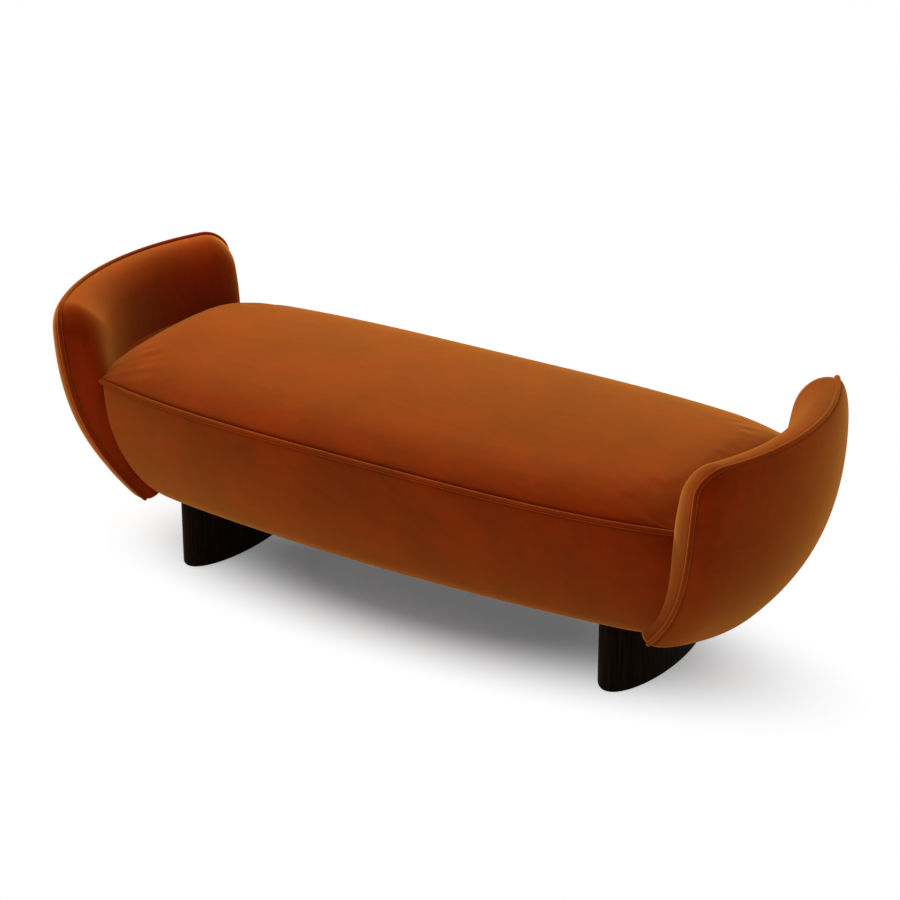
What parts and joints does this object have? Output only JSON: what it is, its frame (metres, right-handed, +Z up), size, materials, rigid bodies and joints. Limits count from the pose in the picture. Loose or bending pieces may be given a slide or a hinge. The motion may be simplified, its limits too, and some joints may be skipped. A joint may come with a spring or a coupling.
{
  "type": "upholstered bench",
  "caption": "Low velvet bench with a crowned seat between curved padded arms that wrap its ends, edged with welt cord, on oval wooden pedestal legs.",
  "frame": {"origin": "on the floor, under the middle of the seat", "axes": "+X along the bench to the right-hand arm seen from the front, -Y to the front, +Z up"},
  "size_m": [1.5986, 0.5666, 0.5354],
  "materials": {
    "velvet": "short-pile rust-orange velvet",
    "stained_wood": "near-black brown stain, satin",
    "plywood": "raw birch plywood and timber",
    "foam": "open-cell upholstery foam",
    "webbing": "woven elastic webbing",
    "dust_cloth": "black non-woven dust cloth",
    "felt": "dark felt",
    "zinc_steel": "zinc-plated steel"
  },
  "bodies": {
    "root": {"arm_bolts_left": "zinc_steel", "arm_bolts_right": "zinc_steel", "arm_inner_cover_left": "velvet", "arm_inner_cover_right": "velvet", "arm_inner_foam_left": "foam", "arm_inner_foam_right": "foam", "arm_outer_cover_left": "velvet", "arm_outer_cover_right": "velvet", "arm_outer_foam_left": "foam", "arm_outer_foam_right": "foam", "arm_shell_left": "plywood", "arm_shell_right": "plywood", "arm_welt_left": "velvet", "arm_welt_right": "velvet", "base_panel": "plywood", "dust_cover": "dust_cloth", "end_board_left": "plywood", "end_board_right": "plywood", "former_left": "plywood", "former_left_end": "plywood", "former_middle": "plywood", "former_right": "plywood", "former_right_end": "plywood", "front_board": "plywood", "front_border_cover": "velvet", "front_border_foam": "foam", "front_rail": "plywood", "leg_bolts_left": "zinc_steel", "leg_bolts_right": "zinc_steel", "leg_glides_left": "felt", "leg_glides_right": "felt", "leg_inserts_left": "zinc_steel", "leg_inserts_right": "zinc_steel", "leg_left": "stained_wood", "leg_right": "stained_wood", "rear_board": "plywood", "rear_border_cover": "velvet", "rear_border_foam": "foam", "rear_rail": "plywood", "seat_foam": "foam", "seat_top_cover": "velvet", "seat_webbing": "webbing", "seat_welt_front": "velvet", "seat_welt_rear": "velvet"}
  },
  "joints": []
}
